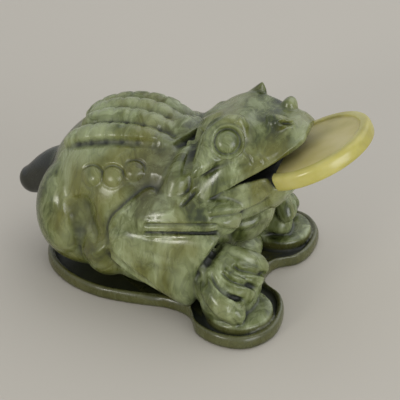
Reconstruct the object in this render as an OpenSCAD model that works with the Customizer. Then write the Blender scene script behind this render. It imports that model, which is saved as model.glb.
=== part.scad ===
// Money toad carved from one block of serpentine, with a loose coin in its mouth.
// X runs towards the snout, Y to the toad's left, Z up. The origin is the middle of
// the flat underside, on the toad's centre plane.

/* [Plinth] */
// Height of the thin plinth under the toad
plinth_h = 3.6; // [3:0.1:5]
// Half width of the plinth beside the body
plinth_half_w = 21.5; // [19:0.5:24]
// Rearmost point of the plinth, behind the origin
plinth_rear = 35; // [32:0.5:38]
// Radius of the round lobe under each front paw
lobe_r = 11.4; // [9:0.2:13]
// Distance of each lobe's centre ahead of the origin
lobe_x = 23.8; // [21:0.2:26]
// Distance of each lobe's centre from the centre plane
lobe_y = 20; // [17:0.2:22]

/* [Body] */
// Height of the stone under the coin strings
back_h = 43.5; // [41:0.5:46]
// Half width of the trunk
trunk_half_w = 22; // [19:0.5:24]
// Thickness of one string of coins on the back
string_d = 6.6; // [5:0.2:8]
// Distance between neighbouring strings over the back
string_pitch = 6; // [5.5:0.1:6.5]
// Number of strings over the back
string_count = 4; // [2:1:5]
// Length of the tail stub behind the trunk
tail_l = 10.5; // [8:0.5:12]
// Diameter of the round bosses on each flank
boss_d = 5.2; // [4:0.1:6]

/* [Head] */
// Height of the crown of the head
crown_h = 52.8; // [50:0.5:55]
// Diameter of each eye
eye_d = 6.2; // [5:0.1:7]
// Slope of the mouth above the level, in degrees
mouth_slope = 29; // [24:0.5:34]

/* [Coin] */
// Diameter of the coin
coin_d = 31; // [27:0.5:33]
// Thickness of the coin
coin_t = 4.2; // [3.4:0.1:5]
// Width of the raised rim of the coin
coin_rim_w = 2.9; // [2:0.1:4]
// Depth of the coin's face below its rim
coin_face_depth = 0.4; // [0.2:0.05:0.6]
// Distance of the flat that sits in the mouth from the coin's centre
coin_flat = 7.5; // [5:0.5:9]
// Clearance on every side of the coin in the mouth
coin_clearance = 0.3; // [0.3:0.05:0.5]

/* [Hidden] */
jade = "#6f7a4c";
yellow_jade = "#bdb56a";
steps = 16;
coin_centre = [37.9, 0, 41.8];
coin_bevel = 0.9;
slot_h = coin_t + 2 * coin_clearance;
slot_back = coin_flat + coin_clearance;
mouth_corner = 22.5;
mouth_gap = 2.6;
slot_reach = 40;
slot_w = 60;
string_mid_x = -10;
string_arch = 1.4;
// One leg and one side of the face; the other side is their mirror image
elbow = [-3, -25, 22.5];
shoulder = [17, -21, 27];
wrist = [19, -23, 12];
paw_heel = [20.5, -18.5, 9];
toe_tips = [[29.8, -10.5, 6.6], [31.2, -16, 6.2], [30.2, -22, 6], [26.5, -27, 6]];
toe_r = 2.4;

// An ellipsoid with its own three radii
module blob(centre, radii) {
    translate(centre)
        scale(radii)
            sphere(1, $fn = steps);
}

// A rounded limb through points [x, y, z, radius], skinned one pair at a time
module limb(points) {
    for (i = [0:len(points) - 2])
        hull()
            for (p = [points[i], points[i + 1]])
                translate([p[0], p[1], p[2]])
                    sphere(p[3], $fn = steps);
}

// Both sides of something modelled at the toad's right side
module both_sides() {
    children();
    mirror([0, 1, 0])
        children();
}

module plinth_plate() {
    hull() {
        translate([-plinth_rear + plinth_half_w, 0, 0])
            cylinder(h = plinth_h, r = plinth_half_w, $fn = 48);
        translate([6, 0, 0])
            cylinder(h = plinth_h, r = plinth_half_w - 1, $fn = 48);
        translate([18, 0, 0])
            cylinder(h = plinth_h, r = 10, $fn = 48);
    }
    both_sides()
        hull() {
            translate([lobe_x, -lobe_y, 0])
                cylinder(h = plinth_h, r = lobe_r, $fn = 48);
            translate([12, -10, 0])
                cylinder(h = plinth_h, r = 10, $fn = 48);
        }
    both_sides()
        hull() {
            translate([lobe_x, -lobe_y, plinth_h - 0.5])
                cylinder(h = 2, r = lobe_r - 2, $fn = 48);
            translate([12, -10, plinth_h - 0.5])
                cylinder(h = 2, r = 9, $fn = 48);
        }
}

module trunk() {
    blob([-8, 0, 24], [26, trunk_half_w, back_h - 24]);
    blob([-12, 0, 12], [22, 19, 12]);
    both_sides()
        blob([-15, -10, 18.5], [18.5, 13.8, 14]);
    hull() {
        blob([10, 0, 22], [15, 20, 15]);
        blob([6, 0, 8], [16, 17, 6]);
    }
    hull() {
        blob([4, 0, 30], [12, 16, 12]);
        blob([12, 0, 38], [8, 12, 9]);
    }
    both_sides()
        for (i = [0:2])
            translate([-15.3 + 5.4 * i, -16.4 + 0.8 * i, 33.5 + 1.5 * i])
                sphere(d = boss_d, $fn = 12);
}

// The strings lie side by side over the back, each an arch from rump to neck
module coin_strings() {
    half = (string_count - 1) / 2;
    for (k = [-half:half]) {
        y = k * string_pitch;
        drop = 0.03 * y * y;
        limb([
            for (a = [-2:2])
                [
                    string_mid_x + 6.5 * a,
                    y * (1 - 0.03 * a * a),
                    back_h - drop - string_arch * a * a,
                    string_d / 2 * (1 - 0.06 * a * a)
                ]
        ]);
    }
}

module tail() {
    limb([
        [-26, 0, 24, 9],
        [-32, 0, 22, 7.5],
        [-30 - tail_l, 0, 19, 3.2]
    ]);
}

module foreleg() {
    limb([
        [shoulder[0], shoulder[1] + 4, shoulder[2], 6],
        [elbow[0], elbow[1] + 5, elbow[2], 5.5],
        [wrist[0], wrist[1] + 4, wrist[2], 5]
    ]);
    limb([
        [wrist[0], wrist[1] + 4, wrist[2], 5],
        [paw_heel[0], paw_heel[1], paw_heel[2], 5.5]
    ]);
    for (tip = toe_tips)
        limb([
            [paw_heel[0], paw_heel[1], paw_heel[2] + 1, 4],
            [tip[0], tip[1], tip[2], toe_r]
        ]);
}

module skull() {
    hull() {
        blob([11, 0, 42], [7, 12, 6]);
        both_sides()
            blob([15, -13, 38], [6, 4, 6]);
        both_sides()
            blob([20, -7.5, crown_h - 5], [6, 4, 4.5]);
        both_sides()
            blob([33, -3, crown_h - 6], [3.6, 3.6, 5]);
    }
    both_sides() {
        hull() {
            blob([20.5, -9, crown_h - 4], [5, 3.6, 4.4]);
            blob([14, -12, crown_h - 9], [3, 3, 3]);
        }
        translate([19, -13.5, 46.5])
            rotate([58, 0, 14])
                cylinder(h = 2.4, d = eye_d, center = true, $fn = steps);
        blob([31, -4.6, crown_h - 1.8], [2.6, 2, 2.8]);
    }
}

module lower_jaw() {
    hull() {
        blob([13, 0, 30], [8, 15.5, 5.5]);
        blob([30.5, 0, 33.8], [4.5, 8.5, 3.6]);
        blob([18, 0, 24], [7, 11, 6]);
    }
}

// The wedge shaped gape, widened at the front to take the coin
module mouth_cut() {
    translate(coin_centre)
        rotate([0, -mouth_slope, 0])
            rotate([90, 0, 0])
                linear_extrude(height = slot_w, center = true)
                    polygon([
                        [-mouth_corner, 0],
                        [-slot_back, mouth_gap / 2],
                        [-slot_back, slot_h / 2],
                        [slot_reach, slot_h / 2],
                        [slot_reach, -slot_h / 2],
                        [-slot_back, -slot_h / 2],
                        [-slot_back, -mouth_gap / 2]
                    ]);
}

module carved_toad() {
    color(jade)
        difference() {
            union() {
                plinth_plate();
                trunk();
                coin_strings();
                tail();
                both_sides()
                    foreleg();
                skull();
                lower_jaw();
            }
            mouth_cut();
            translate([-100, -100, -50])
                cube([200, 200, 50]);
        }
}

module mouth_coin() {
    rim_r = coin_d / 2;
    half_t = coin_t / 2;
    face_r = rim_r - coin_rim_w;
    face_h = half_t - coin_face_depth;
    color(yellow_jade)
        translate(coin_centre)
            rotate([0, -mouth_slope, 0])
                difference() {
                    rotate_extrude($fn = 96)
                        polygon([
                            [0, -face_h],
                            [face_r, -face_h],
                            [face_r + coin_face_depth, -half_t],
                            [rim_r - coin_bevel, -half_t],
                            [rim_r, -half_t + coin_bevel],
                            [rim_r, half_t - coin_bevel],
                            [rim_r - coin_bevel, half_t],
                            [face_r + coin_face_depth, half_t],
                            [face_r, face_h],
                            [0, face_h]
                        ]);
                    translate([-coin_flat - coin_d, -coin_d / 2 - 1, -coin_t])
                        cube([coin_d, coin_d + 2, 2 * coin_t]);
                }
}

carved_toad();
mouth_coin();
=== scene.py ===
"""A money toad carved from one block of serpentine, with a loose yellow coin in its mouth.

The CAD frame fixes every size and place: X towards the snout, Y to the toad's left, Z up,
origin in the middle of the flat underside. Shapes are written in millimetres.
"""
import bmesh
import bpy
import numpy as np
from mathutils import Matrix, Vector


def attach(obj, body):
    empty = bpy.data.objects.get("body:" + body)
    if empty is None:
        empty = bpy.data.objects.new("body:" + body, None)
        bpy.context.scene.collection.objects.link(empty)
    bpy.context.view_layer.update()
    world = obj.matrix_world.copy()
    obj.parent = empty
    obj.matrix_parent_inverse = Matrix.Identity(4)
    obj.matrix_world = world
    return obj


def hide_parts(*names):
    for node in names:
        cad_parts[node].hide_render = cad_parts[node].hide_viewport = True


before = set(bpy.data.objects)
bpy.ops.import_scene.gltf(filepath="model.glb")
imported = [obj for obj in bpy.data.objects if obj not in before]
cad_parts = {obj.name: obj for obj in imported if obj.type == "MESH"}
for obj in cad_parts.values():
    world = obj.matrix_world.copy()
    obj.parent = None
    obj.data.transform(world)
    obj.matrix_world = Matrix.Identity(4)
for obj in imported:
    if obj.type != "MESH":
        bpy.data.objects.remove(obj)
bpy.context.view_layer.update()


# ---------------------------------------------------------------------------
# The block: trunk, haunches, chest, neck and tail
# One block of green serpentine, sawn and ground to its big round masses before any
# detail is cut. Everything below is worked out of this same block.
# ---------------------------------------------------------------------------
MM = 0.001
# The trunk is one big egg; its back is the dome that the coin strings lie on
TRUNK = np.array([-8.0, 0.0, 24.0])
TRUNK_R = np.array([24.2, 22.0, 20.8])
TRUNK_SQUARE = 2.2
# Size of the quads that the roughed out block is rebuilt with, and the passes that smooth it
ROUGH_GRAIN = 0.6
ROUGH_PASSES = 18


def spline(points, count, closed=False):
    """Catmull-Rom curve through the points: each stretch is the cubic whose slope at a
    point is half the step between that point's two neighbours."""
    p = np.asarray(points, float)
    if closed:
        p = np.concatenate([p[-1:], p, p[:2]])
        t = np.linspace(0, len(p) - 3, count, endpoint=False)
    else:
        p = np.concatenate([2 * p[:1] - p[1:2], p, 2 * p[-1:] - p[-2:-1]])
        t = np.linspace(0, len(p) - 3, count)
    i = np.minimum(t.astype(int), len(p) - 4)
    u = (t - i).reshape((-1,) + (1,) * (p.ndim - 1))
    a, b, c, d = p[i], p[i + 1], p[i + 2], p[i + 3]
    bend = a - 2.5 * b + 2 * c - d / 2
    twist = 1.5 * (b - c) + (d - a) / 2
    return b + u * (c - a) / 2 + u**2 * bend + u**3 * twist


def turned(points, degrees):
    """Points turned about X, then Y, then Z, by the right-hand rule."""
    out = np.asarray(points, float)
    for axis, angle in enumerate(np.radians(degrees)):
        j, k = (axis + 1) % 3, (axis + 2) % 3
        c, s = np.cos(angle), np.sin(angle)
        old_j = out[..., j].copy()
        old_k = out[..., k].copy()
        out = out.copy()
        out[..., j] = c * old_j - s * old_k
        out[..., k] = s * old_j + c * old_k
    return out


def skin(rings):
    """Closed surface over rings of points (rows x columns x 3): neighbouring rings are joined
    by quads, and the first and last rings each shrink to one point, which closes them."""
    rows, cols = rings.shape[:2]
    verts = np.concatenate([rings[:1].mean(1), rings[1:-1].reshape(-1, 3), rings[-1:].mean(1)])
    k = np.arange(cols)
    k2 = (k + 1) % cols
    start = 1 + np.arange(rows - 3)[:, None] * cols
    quads = np.stack([start + k, start + k2, start + cols + k2, start + cols + k], -1).reshape(-1, 4)
    last = len(verts) - 1
    head = np.stack([0 * k, 1 + k2, 1 + k], -1)
    foot = np.stack([0 * k + last, last - cols + k, last - cols + k2], -1)
    return verts, quads.tolist() + head.tolist() + foot.tolist()


def egg(centre, radii, turn=(0, 0, 0), square=2.0, rows=28, cols=40):
    """Round body with its poles on X. Across it the section is |y|^n + |z|^n = 1, n being square,
    and that section shrinks to each pole as a circle does. turn is its tilt in degrees."""
    lat = np.linspace(-np.pi / 2, np.pi / 2, rows)[:, None]
    lon = np.linspace(0, 2 * np.pi, cols, endpoint=False)[None, :]

    def soft(v):
        return np.sign(v) * np.abs(v) ** (2 / square)

    across = np.cos(lat)
    p = np.stack([np.sin(lat) + 0 * lon, across * soft(np.cos(lon)), across * soft(np.sin(lon))], -1)
    return skin(turned(p * radii, turn) + centre)


def limb(path, radii, flat=1.0, rows=44, cols=28, rim=None):
    """An ellipse carried along a smooth path, with round ends.

    The ellipse's one half axis, square to the path and to Y, is the radius; the other is the
    radius times flat. At each end the radius falls as a quarter circle, in eight rings. rim, if
    given, multiplies the radius by a function of the distance gone, in mm."""
    cap_rings = 8
    line = spline(path, rows)
    r = spline(np.asarray(radii, float)[:, None], rows)[:, 0]
    step = np.linalg.norm(np.diff(line, axis=0), axis=1)
    gone = np.concatenate([[0], np.cumsum(step)])
    way = np.gradient(line, axis=0)
    way /= np.linalg.norm(way, axis=1)[:, None]
    if rim is not None:
        r = r * rim(gone)
    side = np.cross(way, (0.0, 1.0, 0.0))
    side /= np.linalg.norm(side, axis=1)[:, None]
    up = np.cross(side, way)
    cap = np.linspace(np.pi / 2, 0, cap_rings + 1)[:-1, None]
    before = line[:1] - way[:1] * r[0] * np.sin(cap)
    after = line[-1:] + way[-1:] * r[-1] * np.sin(cap[::-1])
    line = np.concatenate([before, line, after])
    r = np.concatenate([r[0] * np.cos(cap[:, 0]), r, r[-1] * np.cos(cap[::-1, 0])])
    side = np.concatenate([np.repeat(side[:1], cap_rings, 0), side, np.repeat(side[-1:], cap_rings, 0)])
    up = np.concatenate([np.repeat(up[:1], cap_rings, 0), up, np.repeat(up[-1:], cap_rings, 0)])
    a = np.linspace(0, 2 * np.pi, cols, endpoint=False)[None, :, None]
    ring = side[:, None] * np.cos(a) + up[:, None] * np.sin(a) * flat
    return skin(line[:, None] + r[:, None, None] * ring)


def mirrored(part):
    """The same surface across the centre plane, its faces turned to point outwards again."""
    verts, faces = part
    return verts * [1, -1, 1], [f[::-1] for f in faces]


def mesh_of(name, parts):
    """One mesh holding all the given surfaces."""
    verts, faces, base = [], [], 0
    for v, f in parts:
        verts.append(v)
        faces += [[base + i for i in face] for face in f]
        base += len(v)
    mesh = bpy.data.meshes.new(name)
    mesh.from_pydata(np.concatenate(verts) * MM, [], faces)
    mesh.update()
    return mesh


def baked(worked):
    """The mesh that an object's modifiers leave; the object itself is thrown away."""
    depsgraph = bpy.context.evaluated_depsgraph_get()
    found = bpy.data.meshes.new_from_object(worked.evaluated_get(depsgraph))
    bpy.data.objects.remove(worked)
    return found


def remeshed(mesh, voxel):
    """The outer skin of a mesh, as even quads of about voxel mm."""
    rough = bpy.data.objects.new("rough", mesh)
    bpy.context.scene.collection.objects.link(rough)
    rebuild = rough.modifiers.new("skin", "REMESH")
    rebuild.mode = "VOXEL"
    rebuild.voxel_size = voxel * MM
    rebuild.use_smooth_shade = True
    return baked(rough)


def verts_of(mesh):
    """Vertex positions in mm."""
    p = np.empty(len(mesh.vertices) * 3)
    mesh.vertices.foreach_get("co", p)
    return p.reshape(-1, 3) / MM


def edges_of(mesh):
    """The two vertex numbers of each edge."""
    e = np.empty(len(mesh.edges) * 2, int)
    mesh.edges.foreach_get("vertices", e)
    return e.reshape(-1, 2)


def polished(p, edges, passes, sag=0.42):
    """Each pass moves every vertex half way to the mean of its neighbours, then back out by the
    sag, which rounds edges and joins without shrinking the whole. With no sag it does shrink."""
    n = len(p)
    a, b = edges.T
    count = np.bincount(edges.ravel(), minlength=n)[:, None]
    for _ in range(passes):
        for push in (0.5, -sag) if sag else (0.5,):
            near = np.stack([
                np.bincount(a, p[b, k], n) + np.bincount(b, p[a, k], n) for k in range(3)
            ], -1) / count
            p = p + push * (near - p)
    return p


def both(parts):
    """The parts of the right side, and the same on the left."""
    return parts + [mirrored(part) for part in parts]


# Trunk, rump, shoulders, chest and neck
masses = [
    egg(TRUNK, TRUNK_R, square=TRUNK_SQUARE, rows=40, cols=64),
    egg((-12, 0, 12), (21, 15.5, 10.5)),
    egg((9, 0, 20), (14, 17, 16)),
    egg((8, 0, 9), (17, 13, 8)),
    egg((4, 0, 33), (11, 14.6, 10.5)),
]
# Each haunch has two muscles, then the flank and the folded hind foot under it
masses += both([
    egg((-24, -10, 19.5), (9, 10.8, 14)),
    egg((-11, -13.5, 17.5), (9, 9.2, 14), turn=(0, 8, 0)),
    egg((-3, -13.4, 12.5), (13, 7.4, 9), turn=(0, 14, 0)),
    egg((-20, -8.6, 10.6), (12.4, 8.6, 7.6)),
])
# Three soft pleats of skin hang from the nape to the shoulder
masses += both([
    limb([(0.5, -6, 39.6), (-1.6, -11.6, 36.4), (-3, -16, 30)], [2.2, 2.8, 3.2]),
    limb([(4, -7, 40.4), (2.4, -13, 37), (1.2, -17, 30)], [2.2, 2.8, 3.2]),
    limb([(8, -8, 41.4), (7.6, -15, 37.6), (6.2, -17.8, 30)], [2.2, 3.0, 3.4]),
])
# The tail stub
masses.append(limb([(-22, 0, 25), (-31, 0, 23.4), (-39.2, 0, 19.2)], [8, 6.8, 4.2], flat=0.8))
block = remeshed(mesh_of("block", masses), ROUGH_GRAIN)
block_p = polished(verts_of(block), edges_of(block), ROUGH_PASSES)
block_faces = [tuple(f.vertices) for f in block.polygons]


# ---------------------------------------------------------------------------
# The plinth: a thin plate that follows the toad, with a round lobe under each front paw
# Left standing when the block was sawn out, then ground flat below; a shallow channel
# runs inside its rim and each paw has a raised round pad.
# ---------------------------------------------------------------------------
PLINTH_H = 3.6
PLINTH_CENTRE = np.array([5.0, 0.0])
CHANNEL_H = 1.8
# Outline of the right half, from the notch between the paws round to the rear
HALF_OUTLINE = [
    (26.5, 0), (28.2, -5.5), (33.2, -9.6), (35.4, -16), (34.9, -23.8), (30.2, -30), (23.2, -31.2),
    (16.4, -28.4), (12.4, -22.6), (6, -20.6), (-4, -21.4), (-14, -21.2), (-24, -17.6),
    (-31.6, -10.5), (-34.6, 0),
]
# Step in from the outline and height, from the middle of the underside over the rim to the
# middle of the channel; a step longer than any way to the middle ends there
RIM_PROFILE = [
    (99, 0), (8, 0), (0.7, 0), (0.15, 0.35), (0, 1.0), (0.1, 2.4), (0.4, 3.2), (1.0, PLINTH_H),
    (1.6, PLINTH_H - 0.1), (2.1, 2.9), (2.6, CHANNEL_H + 0.1), (8, CHANNEL_H), (99, CHANNEL_H),
]
# Each paw stands on a nearly round pad: its middle, and its radii along X and Y
PAW_CENTRE = (24.8, -19.7)
PAW_R = (8.6, 8.7)
PAW_PAD_BASE = 2.6
PAW_PAD_THICK = 2.4


def plinth_plate():
    """The outline in polar form about a point, with the rim's profile of inward steps and
    heights carried round it."""
    half = np.array(HALF_OUTLINE, float)
    outline = np.concatenate([half, half[-2:0:-1] * [1, -1]])
    path = spline(outline, 220, closed=True) - PLINTH_CENTRE
    profile = np.array(RIM_PROFILE)
    reach = np.linalg.norm(path, axis=1)
    share = np.clip(1 - profile[:, :1] / reach, 0, 1)
    ring = PLINTH_CENTRE + share[..., None] * path
    height = np.broadcast_to(profile[:, 1:2], share.shape)
    return skin(np.concatenate([ring, height[..., None]], -1)[:, ::-1])


def pad(outline, thick, origin, ex, ey, dome=2.4, rings=14, cols=120):
    """A cushion on a closed outline. Each ring is the outline drawn in to a share of its size, and
    its two faces stand off by thick * (1 - share**dome) ** (1 / dome)."""
    ex, ey = np.array(ex, float), np.array(ey, float)
    path = spline(outline, cols, closed=True)
    middle = path.mean(0)
    t = np.linspace(0, np.pi, 2 * rings)[:, None]
    share = np.sin(t)
    lift = thick * np.sign(np.cos(t)) * np.clip(1 - share**dome, 0, 1) ** (1 / dome)
    flat = middle + share[..., None] * (path - middle)
    rise = lift[..., None] * np.cross(ex, ey)
    return skin(np.array(origin, float) + flat[..., :1] * ex + flat[..., 1:] * ey + rise)


round_a_paw = np.radians(np.arange(0, 360, 30))
paw_outline = np.column_stack([
    PAW_CENTRE[0] + PAW_R[0] * np.cos(round_a_paw), PAW_CENTRE[1] + PAW_R[1] * np.sin(round_a_paw),
])
paw_pad = pad(paw_outline, PAW_PAD_THICK, (0, 0, PAW_PAD_BASE), (1, 0, 0), (0, 1, 0), dome=9)
plinth = [plinth_plate()] + both([paw_pad])


# ---------------------------------------------------------------------------
# The coin strings: strings of coins laid over the back from rump to neck
# Each is cut as a half round ridge, then nicked across at every coin's edge.
# ---------------------------------------------------------------------------
COIN_EDGE = 4.1
STRING_R = 3.1
NICK = 0.14


def back_height(x, y):
    """Height of the trunk's back over a place: the egg's section solved for z."""
    share = np.sqrt(np.clip(1 - ((x - TRUNK[0]) / TRUNK_R[0]) ** 2, 0, 1))
    left = np.clip(share**TRUNK_SQUARE - np.abs(y / TRUNK_R[1]) ** TRUNK_SQUARE, 0, 1)
    return TRUNK[2] + TRUNK_R[2] * left ** (1 / TRUNK_SQUARE)


def nicks(gone):
    """The radius dips by the nick where one coin meets the next, every coin edge. The dip takes
    the last 0.45 of the way to the join and falls as that share to the power 1.5."""
    phase = np.abs((gone / COIN_EDGE) % 1 - 0.5) * 2
    return 1 - NICK * np.clip((phase - 0.55) / 0.45, 0, 1) ** 1.5


def coin_string(y, rear, front, sink):
    """A ridge that follows the back from x = rear to x = front at a distance y off the middle,
    drawn in a little at both ends and dipping under the skin there."""
    t = np.linspace(-1, 1, 9)
    x = (front + rear) / 2 + (front - rear) / 2 * t
    off = y * (1 - 0.16 * t**2)
    z = back_height(x, off) - sink - 0.2 * t**4
    return limb(np.column_stack([x, off, z]), STRING_R - 0.6 * t**4, flat=1.04, rows=110, rim=nicks)


strings = both([coin_string(-2.9, -21, 0.5, 0.8), coin_string(-8.9, -24, 1.5, 0.8)])


# ---------------------------------------------------------------------------
# The front legs: upper arm folded back to the elbow, forearm down to a splayed paw
# Ground from the block as a slab standing proud of the flank, with the hand rounded in front
# of it and four toes laid over the hand, the outermost lowest and thickest.
# ---------------------------------------------------------------------------
LEG_Y = -19
# Side outline of the folded arm, as X and Z, from the elbow over the shoulder to the wrist
FOREARM = [
    (-10.6, 16.5), (-9.4, 21.8), (-4, 25), (6, 25.4), (14, 26.4), (19.4, 25.2), (17.4, 20.5),
    (14.6, 14.5), (14.8, 9), (12.4, 3.6), (6.8, 5.6), (1, 8.2), (-5.4, 11.6),
]
# Each toe's path from knuckle to tip, and its radii on the way
TOES = [
    ([(19.6, -16, 18.2), (24, -15.6, 17.2), (27, -13.8, 15.2), (28.1, -12.8, 13.2)], [2.2, 2.4, 2.4, 2.3]),
    ([(18.8, -18, 17.8), (23.2, -18.6, 16), (26.4, -17.6, 13.6), (27.7, -16.4, 11.8)], [2.2, 2.5, 2.6, 2.4]),
    ([(18, -19.8, 17), (21.8, -21.8, 14.4), (24.8, -21.8, 12), (26.6, -20.6, 9.8)], [2.2, 2.7, 2.8, 2.6]),
    ([(17, -21.4, 15.6), (19.6, -24.8, 12), (23, -26.6, 9.4), (25.6, -26.2, 7.2)], [2.4, 3.1, 3.1, 2.7]),
]
# Outline of the hand under the toes, on a plane that leans down outwards
HAND = [(15.4, -3), (18, -7.4), (23.2, -8.6), (26.4, -6.4), (28.4, -1), (29, 5), (26, 7.6), (18.6, 6)]
HAND_LEAN = np.radians(25)
ALONG_HAND = (0, np.cos(HAND_LEAN), np.sin(HAND_LEAN))
# Upper arm, forearm, the heel of the paw and the hand
leg = [
    limb([(18, -15, 28.5), (9, -17.4, 28.6), (1, -18.2, 26.6), (-5.5, -18.2, 22)], [5.6, 6, 5.8, 4.6]),
    pad(FOREARM, 5.6, (0, LEG_Y, 0), (1, 0, 0), (0, 0, 1), dome=4),
    egg((19.6, -18.6, 10), (7, 7, 8.6), turn=(20, 0, 0)),
    pad(HAND, 4.2, (0, LEG_Y, 8), (1, 0, 0), ALONG_HAND, dome=5),
]
leg += [limb(path, radii, rows=30) for path, radii in TOES]


# ---------------------------------------------------------------------------
# The head: a broad wedge raised about thirty degrees, with a straight gape for the coin
# Sawn through along the gape first, so skull and jaw part behind the coin, then the brows,
# the almonds round the eyes and the nostrils are left standing as the rest is ground away.
# ---------------------------------------------------------------------------
MOUTH_SLOPE = np.radians(29)
COIN_CENTRE = np.array([37.9, 0.0, 41.8])
ROOF_RISE = 0.594


def roof_height(x):
    """Height of the upper lip's edge, a straight line parted from the coin so that it can slide."""
    return 36.2 + ROOF_RISE * (x - 19)


def loft(stations, rows=70, cols=90):
    """A closed half profile, mirrored, carried along X. Each station gives its X and the
    (y, z) points of the right half from bottom middle to top middle."""
    rings = []
    for x, half in stations:
        half = np.array(half, float)
        full = np.concatenate([half, half[-2:0:-1] * [-1, 1]])
        rings.append(np.column_stack([np.full(cols, x), spline(full, cols, closed=True)]))
    rings = spline(np.array(rings), rows)
    first = np.broadcast_to(rings[:1].mean(1, keepdims=True), (1, cols, 3))
    last = np.broadcast_to(rings[-1:].mean(1, keepdims=True), (1, cols, 3))
    return skin(np.concatenate([first, rings, last])[:, ::-1])


CHEEK_SWELL = 1.2


def skull_station(x, lip_w, brow_w, brow_z, top_z, bottom=None):
    """Half section of the skull: level from the middle out to the lip, up the cheek, which swells
    past a straight line from lip to brow, and over the brow to the crown."""
    low = roof_height(x) if bottom is None else bottom
    mid_z = low * 0.55 + brow_z * 0.45
    mid_w = lip_w * 0.6 + brow_w * 0.4 + CHEEK_SWELL
    return x, [
        (0, low), (-lip_w * 0.6, low), (-lip_w + 0.5, low), (-lip_w, low + 0.9), (-mid_w, mid_z),
        (-brow_w, brow_z), (-brow_w * 0.5, top_z), (0, top_z),
    ]


skull = loft([
    skull_station(8.8, 12, 6, 44.5, 46.2, bottom=34),
    skull_station(10.8, 17.7, 9, 46.2, 47.2, bottom=31.5),
    skull_station(13, 18.6, 9.6, 46.9, 48.3, bottom=32.2),
    skull_station(19, 17.4, 9.6, 50.4, 51.2),
    skull_station(25, 14.4, 8, 50.4, 51.2),
    skull_station(30, 11.6, 6, 49.8, 50.6),
    skull_station(34, 8.4, 4.6, 49.4, 50),
    skull_station(36.3, 5, 3, 48.2, 48.8),
])


def jaw_station(x, width, top, depth):
    """Half section of the jaw: from the throat up round to the lip, and down 2.6 mm inside it."""
    return x, [
        (0, top - depth), (-width * 0.6, top - depth * 0.96), (-width * 0.95, top - depth * 0.62),
        (-width - 0.3, top - depth * 0.25), (-width + 0.2, top), (-width * 0.6, top - 2.2), (0, top - 2.6),
    ]


# The jaw's place along X, half width, lip height and depth. Behind the coin the lower lip stands
# higher; in front it drops to the seat the coin slides on
JAW = [
    (8, 15, 31, 9), (13, 18, 32.6, 10.6), (19, 15.6, 35.4, 13.4), (24, 13.2, 37.3, 13.8),
    (28.4, 11, 38.2, 11.8), (30.4, 9.8, 35.2, 8), (33, 7.4, 36.2, 6), (34.4, 5, 36.4, 4.2),
    (35.2, 2.4, 35.6, 2),
]
jaw = loft([jaw_station(*station) for station in JAW])
throat = egg((19, 0, 22), (9, 11, 9), turn=(0, -25, 0))
nape = egg((4, 0, 39), (9, 7, 6))

# Side outline of the brow's fin, as X and Z, up to its point over the eye
BROW = [
    (9, 42.6), (12, 45.2), (14.8, 47.6), (17.8, 50.2), (20.8, 53), (21.6, 53.2), (22.6, 50.6), (22.6, 47),
    (18, 45), (13, 42),
]
# The face is marked out on a board held square to LOOKING, which points this far forward of the
# toad's right side and this far up; RIGHTWARD and UPWARD run along the board
MARK_AZ = np.radians(18)
MARK_EL = np.radians(33)
RIGHTWARD = np.array([np.cos(MARK_AZ), np.sin(MARK_AZ), 0])
LOOKING = np.array([np.sin(MARK_AZ) * np.cos(MARK_EL), -np.cos(MARK_AZ) * np.cos(MARK_EL), np.sin(MARK_EL)])
UPWARD = np.cross(LOOKING, RIGHTWARD)
# Almond round the eye, from its own middle
EYE = np.array([19.2, -12.6, 47.0])
EYE_MOUND = [
    (-9.2, -7.8), (-8.2, -4.6), (-7.1, -1.6), (-5.4, 3.8), (-3.7, 6), (-1.2, 7.1), (1.8, 7.4), (4.2, 6.4),
    (5.2, 3.4), (5, -0.4), (3.4, -3.6), (-1.5, -4.8), (-5, -6.4), (-7.6, -7.9),
]
# The left eye was cut lower than the right, and less proud
FAR_DROP = 4.6
right_eye = pad(EYE_MOUND, 2.6, EYE - 0.6 * LOOKING, RIGHTWARD, UPWARD)
left_eye = mirrored(pad(EYE_MOUND, 2.2, EYE - 2.4 * LOOKING - FAR_DROP * UPWARD, RIGHTWARD, UPWARD))
# The right nostril has a flat face, from its upper left corner, leaning back to the right
# and below
NOSTRIL_FACE = [(0, -5), (0, 0), (2, 0.9), (5.2, 0.2), (7.4, -1.6), (7, -3.8), (4.2, -6), (1.2, -6.8)]
NOSTRIL_CORNER = 23.4 * RIGHTWARD + 36.4 * UPWARD + 38.7 * LOOKING
LEAN_BACK = 0.15
LEAN_DOWN = 0.12
face_x = RIGHTWARD * np.cos(LEAN_BACK) - LOOKING * np.sin(LEAN_BACK)
face_y = UPWARD * np.cos(LEAN_DOWN) + LOOKING * np.sin(LEAN_DOWN)
features = both([pad(BROW, 1.7, (0, -9.6, 0), (1, 0, 0), (0, 0, 1), dome=2)])
# A knob stands over each nostril, the left one a little taller
features += [
    egg((29.2, -4.9, 49.2), (2.2, 2.1, 3.4), turn=(0, 6, 8), square=4),
    egg((29.6, 4.7, 49.2), (2.2, 2.1, 3.6), turn=(0, 6, -8), square=4),
    pad(NOSTRIL_FACE, 2.0, NOSTRIL_CORNER, face_x, face_y, dome=6),
    right_eye,
    left_eye,
]


# ---------------------------------------------------------------------------
# Carving: all the masses become one skin, and the fine work is cut into it
# Cut with small wheels and points after the masses are ground: rings round the eyes and the
# bosses, the folds of lip, neck and arm, the toes. Then the whole toad is wheel polished.
# ---------------------------------------------------------------------------
FINE_GRAIN = 0.36
FINE_PASSES = 3


def set_verts(mesh, p):
    """Puts the vertices at places given in mm."""
    mesh.vertices.foreach_set("co", (p * MM).ravel())
    mesh.update()


def normals_of(mesh):
    """The outward direction at each vertex."""
    n = np.empty(len(mesh.vertices) * 3)
    mesh.vertex_normals.foreach_get("vector", n)
    return n.reshape(-1, 3)


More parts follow.
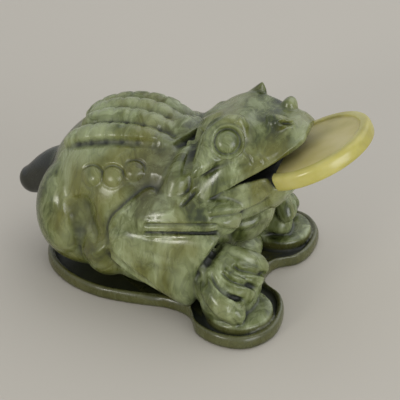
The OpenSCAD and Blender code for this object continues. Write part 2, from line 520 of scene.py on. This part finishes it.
def rising(value, start, width):
    """A share that goes straight up from 0 at start to 1 when the value is width past it."""
    return np.clip((value - start) / width, 0, 1)


parts = [(block_p, block_faces)] + plinth + strings + both(leg) + [skull, jaw, throat] + features + [nape]
skin_mesh = remeshed(mesh_of("skin", parts), FINE_GRAIN)
skin_edges = edges_of(skin_mesh)
p = polished(verts_of(skin_mesh), skin_edges, FINE_PASSES)
# The neck between the shoulder and the eye is ground softer than the rest
NECK_SPOT = (3, 14, 35)
NECK_R = 7
NECK_PASSES = 24
from_spot = np.linalg.norm((np.abs(p) - NECK_SPOT) / NECK_R, axis=1)
soft_neck = np.clip(1 - from_spot, 0, 0.5) * 2 * (p[:, 0] > -4)
p += soft_neck[:, None] * (polished(p, skin_edges, NECK_PASSES) - p)
set_verts(skin_mesh, p)

# The work is set out on the toad's right side, on the marking-out board, where a runs rightward
# and b upward in mm, and it is cut the same on the left side, but for the drop of the left eye
right_side = np.where(p[:, 1:2] > 0, [[1, -1, 1]], [[1, 1, 1]])
normal = normals_of(skin_mesh)
place = p * right_side
board = np.stack([place @ RIGHTWARD, place @ UPWARD], -1)
dropped = rising(p[:, 1], 0, 4) * rising(place[:, 0], 6, 4) * rising(board[:, 1], 22, 6)
board[:, 1] += FAR_DROP * dropped
# A cut dies away where the skin turns from the board
facing = rising((normal * right_side) @ LOOKING, 0.02, 0.2)
lift = np.zeros(len(p))


def gap_to(path, places):
    """Distance of each place to a chain of straight steps, plus on its left and minus on its right,
    and the share of the chain gone at the nearest point."""
    step = path[1:] - path[:-1]
    rel = places[:, None] - path[:-1]
    share = np.clip((rel * step).sum(-1) / (step * step).sum(-1), 0, 1)
    off = rel - share[..., None] * step
    far = np.linalg.norm(off, axis=-1)
    k = far.argmin(1)
    row = np.arange(len(places))
    side = np.sign(step[k, 0] * off[row, k, 1] - step[k, 1] * off[row, k, 0])
    return far[row, k] * side, (k + share[row, k]) / len(step)


def cut(line, profile, fade, where=True):
    """Moves the skin out by a profile of (distance, height) over the distance from a smooth line.
    If every distance is plus, both sides of the line are the same. At each end the cut fades out
    over the given share of the line, which may be none."""
    path = spline(line, 8 * len(line))
    far, height = np.array(profile, float).T
    reach = np.abs(far).max()
    near = (board > path.min(0) - reach).all(1) & (board < path.max(0) + reach).all(1)
    near = np.flatnonzero(near & (facing > 0) & where)
    gap, gone = gap_to(path, board[near])
    if far.min() >= 0:
        gap = np.abs(gap)
    ends = np.clip(np.minimum(gone, 1 - gone) / max(fade, 1e-6), 0, 1)
    lift[near] += np.interp(gap, far, height) * (ends * (2 - ends)) * facing[near]


def ring(centre, profile, where):
    """Moves the skin out by a profile of (distance, height) over the distance from a point."""
    far, height = np.array(profile, float).T
    gap = np.linalg.norm(board - centre, axis=1)
    lift[:] += np.interp(gap, far, height) * facing * (where & (gap < far.max()))


def groove(wide, deep, brim):
    """A round bottomed groove, with a brim raised beside it."""
    return [(0, -deep), (0.25 * wide, -0.8 * deep), (0.5 * wide, brim), (0.8 * wide, 0.6 * brim), (wide, 0)]


# Each cut reaches only its own part of the body, which x and y tell apart
x, y = place[:, 0], place[:, 1]
head = x > 8
hand = x > 14
arm = y < -14
# Eyes: a domed ball, a deep groove round it, the lid's rim and a fine line round that
EYE_AT = (14.2, 30.3)
ring(EYE_AT, [
    (0, 0.6), (1.4, 0.5), (2.4, 0.1), (2.8, -0.5), (3.2, -0.95), (3.6, -0.5), (3.85, 0.2), (4.1, 0.15),
    (4.45, -0.45), (4.8, -0.1), (5.4, 0.1), (6.2, 0),
], head)
# The almond round the eye stands out from a dark hollow behind it
behind_eye = [(-4, 0), (-2, -0.3), (-0.8, -0.7), (0, -1.0), (0.8, -0.8), (1.6, 0)]
cut([(8.6, 36.6), (7, 34), (4.4, 26.4), (3, 21)], behind_eye, fade=0.3)
under_eye = [(-1.4, 0), (-0.4, -0.35), (0, -0.5), (0.4, 0.1), (1.4, 0)]
cut([(7.4, 21.8), (10, 24), (12.8, 25.4), (15.6, 25.6)], under_eye, fade=0.3, where=head)
cut([(8.4, 25.4), (8.2, 23.4), (7.6, 22)], groove(0.7, 0.35, 0.1), fade=0.3, where=head)
# The crest over it runs back into the nape
crest = [(-2.4, 0), (-0.9, -0.9), (-0.4, -0.4), (0, 0.7), (0.6, 0.3), (1.4, -0.2), (2.5, 0)]
cut([(0.5, 30.2), (1.8, 31.1), (4.4, 32.7), (7, 34.6), (10.4, 36.9), (13.4, 38.6)], crest, fade=0.3)
# Hollow between brow and nostril, and the nostril's slit
before_brow = [(0, -0.6), (1, -0.5), (2, -0.2), (3, 0)]
cut([(22, 39), (21.2, 35), (20.2, 31), (19.4, 28)], before_brow, fade=0.4, where=head)
cut([(26.4, 35.3), (28.2, 34.8), (30.4, 34.9)], groove(1.1, 1.0, 0.2), fade=0.25, where=head)
# Cheek creases behind the snout
cut([(18, 28.4), (19.4, 26.6), (20.4, 24.6)], groove(1.2, 0.3, 0.1), fade=0.4, where=head)
cut([(21, 27.8), (22.6, 26.2), (23.4, 24.8)], groove(1.2, 0.25, 0.1), fade=0.4, where=head)
# Lips: a thin bright edge over the gape, a rolled lip under it and the line of the throat
upper_edge = [(0, 0), (0.5, 0.25), (1.1, -0.15), (2.2, 0)]
cut([(12.4, 18.8), (19.2, 21.6), (25, 24.8), (28, 27), (33, 31)], upper_edge, fade=0.1, where=head)
rolled_lip = [(-2.4, 0), (-0.9, -0.8), (-0.3, 0.2), (0.3, 0.7), (1.6, 0)]
cut([(9.5, 13), (12, 13.4), (17.4, 14.2), (21.6, 15.9), (25.3, 18.6)], rolled_lip, fade=0.25, where=head)
throat_line = [(-3, 0), (-1, -0.8), (-0.3, -0.3), (0.4, 0.3), (1.5, 0)]
cut([(10.5, 11.2), (15, 9.6), (20.2, 9.6), (25, 12.6)], throat_line, fade=0.25, where=head)
# The slit behind the mouth's corner
cut([(2.6, 14.4), (4.6, 16.4), (7, 19)], groove(1.4, 0.9, 0.3), fade=0.5, where=x > 2)
# Crease where the coin strings end on the flank
string_crease = [(-1.5, 0), (-0.7, -0.4), (0, -0.7), (0.7, -0.5), (1.5, 0)]
cut([(-26.4, 30.4), (-14.3, 30.9), (-1.6, 30.4)], string_crease, fade=0.15, where=x < 4)
# Bosses in a row along the flank, each with an arc over it
ARC_R = 2.9
arc_turns = np.radians((150, 110, 70, 30, -10))
for boss in ((-19.4, 22.4), (-14.1, 22.2), (-8.6, 23.6)):
    ring(boss, [(0, 0.8), (1.2, 0.65), (2.0, 0.25), (2.7, -0.15), (3.4, 0)], x < 4)
    arc = [(boss[0] + ARC_R * np.cos(t), boss[1] + ARC_R * np.sin(t)) for t in arc_turns]
    cut(arc, groove(1.2, 0.4, 0.1), fade=0.35, where=x < 4)
# Haunch: the valley between its two muscles, and a faint one behind it
haunch_valley = [(0, -3.2), (1, -2.8), (2.6, -1.2), (4.4, 0)]
cut([(-23.4, 18), (-22.2, 13), (-21, 8.4), (-18.4, 3.4)], haunch_valley, fade=0.3, where=x < 0)
cut([(-30.5, 16), (-30, 10), (-27, 5)], [(0, -0.7), (0.8, -0.5), (2, 0)], fade=0.4, where=x < 0)
# The folded arm's edge stands over the flank
elbow = [
    (-2.7, 18), (-5, 19.2), (-8, 17.2), (-11.6, 14.1), (-14.6, 11.1), (-15.4, 7.5), (-14.3, 3.3),
    (-11.6, 0.9), (-6.2, -3.3), (-1.4, -7.5),
]
arm_edge = [(-4, 0), (-1.6, -0.9), (-0.5, -1.2), (0, -0.3), (0.5, 0.4), (1.6, 0.15), (2.6, 0)]
cut(elbow, arm_edge, fade=0.12, where=y < -10)
# Two bars across the arm, the ridge of the forearm and the hollow before the wrist
for bar in (10.3, 8.3):
    cut([(-6.4, bar), (3, bar), (12.2, bar)], groove(1.1, 0.7, 0.25), fade=0.08, where=arm)
forearm_ridge = [(0, 0.4), (0.4, 0.3), (1.6, -0.15), (3, 0)]
cut([(-9.4, 3.2), (-2.4, 1), (4.3, -0.5)], forearm_ridge, fade=0.3, where=arm)
wrist_hollow = [(-2, 0), (-0.7, 0.3), (0, -0.2), (0.6, -1.1), (1.3, -1.1), (2.4, 0)]
cut([(12.2, 7.2), (9.4, 2.4), (7.2, -1.4), (7.6, -6)], wrist_hollow, fade=0.2, where=arm)
# Grooves between the toes
outer_groove = [(9.8, -1.2), (11.6, -4.2), (13.6, -6.2), (15.6, -7.4), (18.3, -8.4)]
cut(outer_groove, groove(1.5, 0.95, 0.25), fade=0.2, where=hand)
middle_groove = [(12.8, -1), (14.6, -2.9), (17.1, -3.9), (19.3, -4.4), (21.8, -5.8)]
cut(middle_groove, groove(1.6, 1.1, 0.3), fade=0.15, where=hand)
inner_groove = [(15.8, 0.5), (17.6, -1), (20.5, -1.4), (24.3, -2.2)]
cut(inner_groove, groove(1.6, 1.0, 0.3), fade=0.15, where=hand)
# The outermost toe's claw, raised inside its outline
claw = [
    (15, -11.2), (16.3, -8.8), (18.1, -8.3), (19, -10), (19, -11.8), (17.8, -14.6), (15.8, -12.9),
    (15, -11.2),
]
cut(claw, [(-2.4, 0.6), (-1, 0.45), (-0.4, 0.2), (0, -0.3), (0.4, -0.2), (1, 0)], fade=0, where=hand)

p = p + lift[:, None] * normal
p = polished(p, skin_edges, 1)
p[:, 2] = np.maximum(p[:, 2], 0)
set_verts(skin_mesh, p)

# How hollow each place is. The stone's colour is darkened there as painted shade, and its polish
# is made duller. Fine hollows come out when the skin is smoothed a little, and broad ones when it
# is smoothed a lot
NEAR_PASSES = 25
BROAD_PASSES = 150
out = normals_of(skin_mesh)
near_smooth = polished(p, skin_edges, NEAR_PASSES, sag=0)
broad_smooth = polished(near_smooth, skin_edges, BROAD_PASSES, sag=0)
fine_hollow = rising(((near_smooth - p) * out).sum(-1), 0.03, 0.65)
valley = np.minimum(rising(((broad_smooth - p) * out).sum(-1), 0.2, 1.6), 0.55)
# The floor of the plinth's channel, and the belly over it: painted shade, with some of the
# recess's own darker stone in it
channel_shade = rising(3.2 - p[:, 2], 0, 0.8) * (p[:, 2] > CHANNEL_H) * rising(out[:, 2], 0.2, 0.4)
belly_shade = rising(9 - p[:, 2], 0, 5) * rising(-out[:, 2], 0, 0.6) * (p[:, 2] > 0.5)
# The inside of the mouth, which no wheel reaches: dull, and darkened as painted shade
jaw_x, jaw_w, jaw_top, _ = np.array(JAW).T
inside_lips = np.abs(p[:, 1]) < np.interp(p[:, 0], jaw_x, jaw_w) - 0.3
under_roof = p[:, 2] < roof_height(p[:, 0]) + 0.5
over_floor = p[:, 2] > np.interp(p[:, 0], jaw_x, jaw_top) - 3.6
in_mouth = inside_lips & under_roof & over_floor & (p[:, 0] > 12)
# All these masks add up to the painted shade, kept on the skin for the stone's colour and polish
hollow_shade_share = np.clip(fine_hollow + valley + 0.75 * channel_shade + 0.6 * belly_shade + in_mouth, 0, 1)
skin_mesh.attributes.new("hollow", "FLOAT", "POINT").data.foreach_set("value", hollow_shade_share)


def thinned(mesh, triangles):
    """The mesh with its flattest places merged until it has so many triangles."""
    dense = bpy.data.objects.new("dense", mesh)
    bpy.context.scene.collection.objects.link(dense)
    collapse = dense.modifiers.new("thin", "DECIMATE")
    collapse.ratio = min(1.0, triangles / (2 * len(mesh.polygons)))
    return baked(dense)


STONE_TRIANGLES = 190000
stone = thinned(skin_mesh, STONE_TRIANGLES)
stone.name = "toad_stone"
for polygon in stone.polygons:
    polygon.use_smooth = True
toad = bpy.data.objects.new("toad_stone", stone)
bpy.context.scene.collection.objects.link(toad)
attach(toad, "toad")
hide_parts("carved_toad")


def linear(code):
    """A colour written as an sRGB hex value, as linear RGBA."""
    c = np.array([int(code[i:i + 2], 16) for i in (1, 3, 5)]) / 255
    c = np.where(c <= 0.04045, c / 12.92, ((c + 0.055) / 1.055) ** 2.4)
    return (*c.tolist(), 1.0)


def material(name):
    """A new node material and its surface shader."""
    made = bpy.data.materials.new(name)
    made.use_nodes = True
    return made, made.node_tree.nodes["Principled BSDF"]


def node(made, kind, settings=None, **links):
    """Adds one node. settings sets its properties; each link is an input's name or number
    (as _0, _1) with the value to set, or the output socket to join to it."""
    tree = made.node_tree
    new = tree.nodes.new("ShaderNode" + kind)
    for key, value in (settings or {}).items():
        setattr(new, key, value)
    for key, value in links.items():
        socket = new.inputs[int(key[1:])] if key[0] == "_" else new.inputs[key]
        if isinstance(value, bpy.types.NodeSocket):
            tree.links.new(value, socket)
        else:
            socket.default_value = value
    return new


def ramp(made, value, stops):
    """A colour ramp over value, with (place, sRGB hex) stops."""
    new = node(made, "ValToRGB", Fac=value)
    marks = new.color_ramp.elements
    while len(marks) < len(stops):
        marks.new(1.0)
    for mark, (place, code) in zip(marks, stops):
        mark.position = place
        mark.color = linear(code)
    return new.outputs["Color"]


def blend(made, share, first, second):
    """One colour laid over another by a share, which may be a number or a socket."""
    mixed = node(made, "Mix", {"data_type": "RGBA"}, _0=share, _6=first, _7=second)
    return mixed.outputs[2]


# Settings that several nodes share
SMOOTH = {"interpolation_type": "SMOOTHSTEP"}
DISTANCE = {"operation": "DISTANCE"}
MULTIPLY_ADD = {"operation": "MULTIPLY_ADD"}
# Node patterns are scaled in mm, while Object coordinates are metres
MM_PER_M = 1000.0

# Polished Xiuyan serpentine: grey-green stone with olive clouds and fine dark veins, near black
# at the tail. Wheel polished, so it is glossy on the rounds, while the wheel doesn't reach the
# hollows, which stay dull and are painted dark as shade.
jade, jade_shader = material("polished_veined_serpentine")
object_place = node(jade, "TexCoord").outputs["Object"]
in_mm = node(jade, "VectorMath", {"operation": "SCALE"}, _0=object_place, Scale=MM_PER_M).outputs[0]
# The bedding stands up from the base, so every cloud is drawn out along Z and leans forward
bed = node(jade, "Mapping", Vector=in_mm, Rotation=(0.25, -0.35, 0.3), Scale=(1.0, 0.8, 0.55)).outputs[0]
fold = node(jade, "TexNoise", Vector=bed, Scale=1 / 14, Detail=2.0, Roughness=0.5).outputs["Color"]
folded = node(jade, "VectorMath", MULTIPLY_ADD, _0=fold, _1=(12, 12, 12), _2=bed).outputs[0]
cloud = node(jade, "TexNoise", Vector=folded, Scale=1 / 9, Detail=4.0, Roughness=0.55).outputs["Fac"]
streak_noise = node(jade, "TexNoise", Vector=folded, Scale=1 / 2.6, Detail=5.0, Roughness=0.6, Distortion=0.8)
streak = streak_noise.outputs["Fac"]
clouded = node(jade, "Mix", {"data_type": "FLOAT"}, _0=0.4, _2=cloud, _3=streak).outputs[0]
body_colour = ramp(jade, clouded, [
    (0.375, "#303819"), (0.435, "#4e562b"), (0.49, "#676f43"), (0.545, "#7c845a"), (0.615, "#969f77"),
])
olive_cloud = node(jade, "TexNoise", Vector=folded, Scale=1 / 13, Detail=3.0, Roughness=0.5).outputs["Color"]
olive = ramp(jade, olive_cloud, [(0.47, "#000000"), (0.62, "#d0d0d0")])
with_olive = blend(jade, olive, body_colour, linear("#6b6829"))
# Paler clouds
pale_cloud = node(jade, "TexNoise", Vector=bed, Scale=1 / 12, Detail=3.0, Roughness=0.55).outputs["Fac"]
pale = ramp(jade, pale_cloud, [(0.52, "#000000"), (0.66, "#b8b8b8")])
with_pale = blend(jade, pale, with_olive, linear("#9da67e"))
# The plinth, near the skin of the raw stone, is browner
height = node(jade, "SeparateXYZ", _0=in_mm).outputs["Z"]
low = node(jade, "MapRange", _0=height, _1=3.8, _2=4.8, _3=0.85, _4=0.0).outputs[0]
with_rim = blend(jade, low, with_pale, linear("#45441f"))
# Dark veins run where a noise crosses its middle value, about 0.3 mm wide
vein_noise = node(jade, "TexNoise", Vector=folded, Scale=1 / 7, Detail=2.5, Roughness=0.55).outputs["Fac"]
off_middle = node(jade, "Math", {"operation": "SUBTRACT"}, _0=vein_noise, _1=0.5).outputs[0]
vein_gap = node(jade, "Math", {"operation": "ABSOLUTE"}, _0=off_middle).outputs[0]
vein = ramp(jade, vein_gap, [(0.0, "#909090"), (0.008, "#606060"), (0.022, "#000000")])
with_veins = blend(jade, vein, with_rim, linear("#2c3222"))
# A near black seam runs through the tail
from_tail = node(jade, "VectorMath", DISTANCE, _0=in_mm, _1=(-44.0, 0.0, 22.0)).outputs["Value"]
tail_seam = node(jade, "Math", MULTIPLY_ADD, _0=cloud, _1=14.0, _2=from_tail).outputs[0]
seam = node(jade, "MapRange", SMOOTH, _0=tail_seam, _1=17.0, _2=35.0, _3=0.97, _4=0.0).outputs[0]
with_seam = blend(jade, seam, with_veins, linear("#181a14"))
# and the folds of the neck are brown
beside = node(jade, "VectorMath", {"operation": "MULTIPLY"}, _0=in_mm, _1=(1.0, 0.1, 1.0)).outputs[0]
from_neck = node(jade, "VectorMath", DISTANCE, _0=beside, _1=(1.0, 0.0, 36.0)).outputs["Value"]
neck_seam = node(jade, "Math", MULTIPLY_ADD, _0=streak, _1=9.0, _2=from_neck).outputs[0]
brown = node(jade, "MapRange", SMOOTH, _0=neck_seam, _1=6.0, _2=15.0, _3=0.85, _4=0.0).outputs[0]
with_seams = blend(jade, brown, with_seam, linear("#484620"))
# The hollows are blended towards near black: painted shade, with a duller polish there
hollow = node(jade, "Attribute", {"attribute_name": "hollow"}).outputs["Fac"]
jade_colour = blend(jade, hollow, with_seams, linear("#1b2014"))
jade.node_tree.links.new(jade_colour, jade_shader.inputs["Base Color"])
gloss = node(jade, "MapRange", _0=streak, _1=0.3, _2=0.7, _3=0.18, _4=0.34).outputs[0]
dull = node(jade, "Math", MULTIPLY_ADD, _0=hollow, _1=0.35, _2=gloss).outputs[0]
jade.node_tree.links.new(dull, jade_shader.inputs["Roughness"])
# Hand held polishing leaves it faintly wavy, every 2 to 3 mm
wave = node(jade, "TexNoise", Vector=in_mm, Scale=1 / 2.4, Detail=3.0, Roughness=0.5).outputs["Fac"]
bumped = node(jade, "Bump", Strength=0.35, Distance=0.0002, Height=wave).outputs[0]
jade.node_tree.links.new(bumped, jade_shader.inputs["Normal"])
jade_shader.inputs["IOR"].default_value = 1.56
jade_shader.inputs["Subsurface Weight"].default_value = 0.08
jade_shader.inputs["Subsurface Radius"].default_value = (0.0012, 0.0016, 0.0008)
jade_shader.inputs["Subsurface Scale"].default_value = 1.0
stone.materials.clear()
stone.materials.append(jade)


# ---------------------------------------------------------------------------
# The coin: a loose disc of yellow serpentine with a raised rim, held in the toad's mouth
# Turned round and lapped flat, then one side is sawn off straight where it sits in the gape.
# It is gripped by nothing, so it slides out along the mouth.
# ---------------------------------------------------------------------------
COIN_R = 15.5
# Distance from the coin's middle to its sawn side, and how far that side's edges are softened
COIN_FLAT = 7.5
SAWN_EDGE = 0.2
# How much the edge swells and shrinks, as a share of the radius
COIN_SWELL = 0.004
# Distance from the axis and height over the coin's middle plane, from the middle of one face out
# to the edge; the other face is the same
COIN_FACE = [
    (0, 1.72), (4, 1.7), (8, 1.68), (11.4, 1.66), (12.3, 1.58), (12.7, 1.66), (13.0, 1.98), (13.4, 2.1),
    (14.3, 2.1), (14.95, 1.9), (15.35, 1.4), (COIN_R, 0.7),
]


def coin_lathe(turns=220):
    """A profile of distance and height carried round the axis. The distance falls short of the
    profile's by up to twice the swell, as a sine three times a turn, as on a disc ground by hand."""
    face = np.array(COIN_FACE)
    profile = spline(np.concatenate([face, face[::-1] * [1, -1]]), 90)
    profile[[0, -1], 0] = 0
    angle = np.linspace(0, 2 * np.pi, turns, endpoint=False)
    short = COIN_SWELL * (1 + np.sin(3 * angle + 0.7)) * np.clip(profile[:, :1] / COIN_R, 0, 1)
    far = profile[:, :1] * (1 - short)
    ring_z = np.broadcast_to(profile[:, 1:2], far.shape)
    return skin(np.stack([far * np.cos(angle), far * np.sin(angle), ring_z], -1)[::-1])


coin_mesh = mesh_of("coin", [coin_lathe()])
# Sawn off straight across X, and the opening closed by one face
sawn = bmesh.new()
sawn.from_mesh(coin_mesh)
whole_disc = sawn.verts[:] + sawn.edges[:] + sawn.faces[:]
saw_at = Vector((-COIN_FLAT * MM, 0, 0))
sawn_through = bmesh.ops.bisect_plane(
    sawn, geom=whole_disc, plane_co=saw_at, plane_no=(-1, 0, 0), clear_outer=True
)
open_edges = [e for e in sawn_through["geom_cut"] if isinstance(e, bmesh.types.BMEdge)]
bmesh.ops.edgeloop_fill(sawn, edges=open_edges)
bmesh.ops.recalc_face_normals(sawn, faces=sawn.faces[:])
sawn.to_mesh(coin_mesh)
sawn.free()
# Laid on the mouth's slope
coin_place = turned(verts_of(coin_mesh), (0, -np.degrees(MOUTH_SLOPE), 0)) + COIN_CENTRE
set_verts(coin_mesh, coin_place)
# Shaded smooth, but for the sawn side and the few small quads that it cuts one corner off
for polygon in coin_mesh.polygons:
    polygon.use_smooth = len(polygon.vertices) < 5
coin = bpy.data.objects.new("coin", coin_mesh)
bpy.context.scene.collection.objects.link(coin)
soften = coin.modifiers.new("sawn edge", "BEVEL")
soften.width = SAWN_EDGE * MM
soften.segments = 2
soften.limit_method = "ANGLE"
soften.angle_limit = np.radians(50)
soften.harden_normals = False
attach(coin, "coin")
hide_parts("mouth_coin")

# Yellow serpentine, the same mineral with less iron: clearer than the green, so light soaks
# through its edge. The rim is polished and deep yellow; the lapped face is matt and paler.
honey, honey_shader = material("translucent_yellow_serpentine")
object_place = node(honey, "TexCoord").outputs["Object"]
in_mm = node(honey, "VectorMath", {"operation": "SCALE"}, _0=object_place, Scale=MM_PER_M).outputs[0]
from_centre = node(honey, "VectorMath", DISTANCE, _0=in_mm, _1=tuple(COIN_CENTRE)).outputs["Value"]
cloud = node(honey, "TexNoise", Vector=in_mm, Scale=1 / 8, Detail=3.0, Roughness=0.5).outputs["Fac"]
spread = node(honey, "Math", MULTIPLY_ADD, _0=cloud, _1=1.2, _2=from_centre).outputs[0]
face_share = node(honey, "MapRange", SMOOTH, _0=spread, _1=13.0, _2=13.8, _3=1.0, _4=0.0).outputs[0]
rim_colour = ramp(honey, cloud, [(0.3, "#a1984a"), (0.5, "#b3ab5b"), (0.7, "#bfb871")])
lapped_colour = ramp(honey, cloud, [(0.3, "#aaa05c"), (0.5, "#b8ad6e"), (0.7, "#c1b67f")])
coin_colour = blend(honey, face_share, rim_colour, lapped_colour)
honey.node_tree.links.new(coin_colour, honey_shader.inputs["Base Color"])
matt = node(honey, "MapRange", _0=face_share, _1=0.0, _2=1.0, _3=0.22, _4=0.42).outputs[0]
honey.node_tree.links.new(matt, honey_shader.inputs["Roughness"])
honey_shader.inputs["IOR"].default_value = 1.56
honey_shader.inputs["Subsurface Weight"].default_value = 0.35
honey_shader.inputs["Subsurface Radius"].default_value = (0.004, 0.0035, 0.0012)
honey_shader.inputs["Subsurface Scale"].default_value = 1.0
coin_mesh.materials.clear()
coin_mesh.materials.append(honey)


# ---------------------------------------------------------------------------
# The floor, the lights and the camera
# The toad stands on a plain pale cloth in a room: a wide soft light overhead on its left, a small
# window low on its right and a pale wall low in front of it. The camera looks along the
# marking-out direction, from a little over a third of a metre.
# ---------------------------------------------------------------------------
FLOOR_HALF = 3
corners = [(-1, -1), (1, -1), (1, 1), (-1, 1)]
floor = bpy.data.meshes.new("floor")
floor.from_pydata([(a * FLOOR_HALF, b * FLOOR_HALF, 0) for a, b in corners], [], [(0, 1, 2, 3)])
ground = bpy.data.objects.new("floor", floor)
bpy.context.scene.collection.objects.link(ground)
# Plain pale cloth, so quite matt
cloth, cloth_shader = material("plain_pale_cloth")
cloth_shader.inputs["Base Color"].default_value = linear("#beb8ac")
cloth_shader.inputs["Roughness"].default_value = 0.9
floor.materials.append(cloth)

# In metres: how far off the camera is and the place on the floor that it is set out from
CAMERA_FAR = 0.38
CAMERA_AIM = np.array([0, 0.0246, 0])
# The camera looks this much over that place, as a slope
TILT_UP = 0.0113
FILM_WIDTH = 36
FOCAL_LENGTH = 119.7
camera_at = CAMERA_AIM + LOOKING * CAMERA_FAR
backward = LOOKING - UPWARD * TILT_UP
backward /= np.linalg.norm(backward)
sideways = np.cross(UPWARD, backward)
sideways /= np.linalg.norm(sideways)
axes = np.stack([sideways, np.cross(backward, sideways), backward], -1)
lens = bpy.data.cameras.new("camera")
lens.sensor_width = FILM_WIDTH
lens.lens = FOCAL_LENGTH
camera = bpy.data.objects.new("camera", lens)
camera.matrix_world = Matrix([(*row, at) for row, at in zip(axes, camera_at)] + [(0, 0, 0, 1)])
bpy.context.scene.collection.objects.link(camera)
bpy.context.scene.camera = camera


TOAD_MIDDLE = Vector((0, 0, 0.02))


def area_light(name, at, size, energy, colour):
    """A square light aimed at the middle of the toad."""
    made = bpy.data.lights.new(name, "AREA")
    made.size = size
    made.energy = energy
    made.color = linear(colour)[:3]
    lamp = bpy.data.objects.new(name, made)
    lamp.location = at
    lamp.rotation_euler = (TOAD_MIDDLE - Vector(at)).to_track_quat("-Z", "Y").to_euler()
    bpy.context.scene.collection.objects.link(lamp)


area_light("overhead", (0.5, 0.7, 1.0), size=1.6, energy=7.0, colour="#f8faff")
area_light("window", (-0.4, -0.9, 0.26), size=0.24, energy=2.4, colour="#fffdf4")
area_light("far wall", (1.1, -0.7, 0.22), size=0.9, energy=9.5, colour="#fbfcff")
room = bpy.data.worlds.new("room")
room.use_nodes = True
room_light = room.node_tree.nodes["Background"]
room_light.inputs["Color"].default_value = (0.86, 0.88, 0.92, 1)
room_light.inputs["Strength"].default_value = 0.68
bpy.context.scene.world = room
bpy.context.scene.view_settings.view_transform = "Standard"
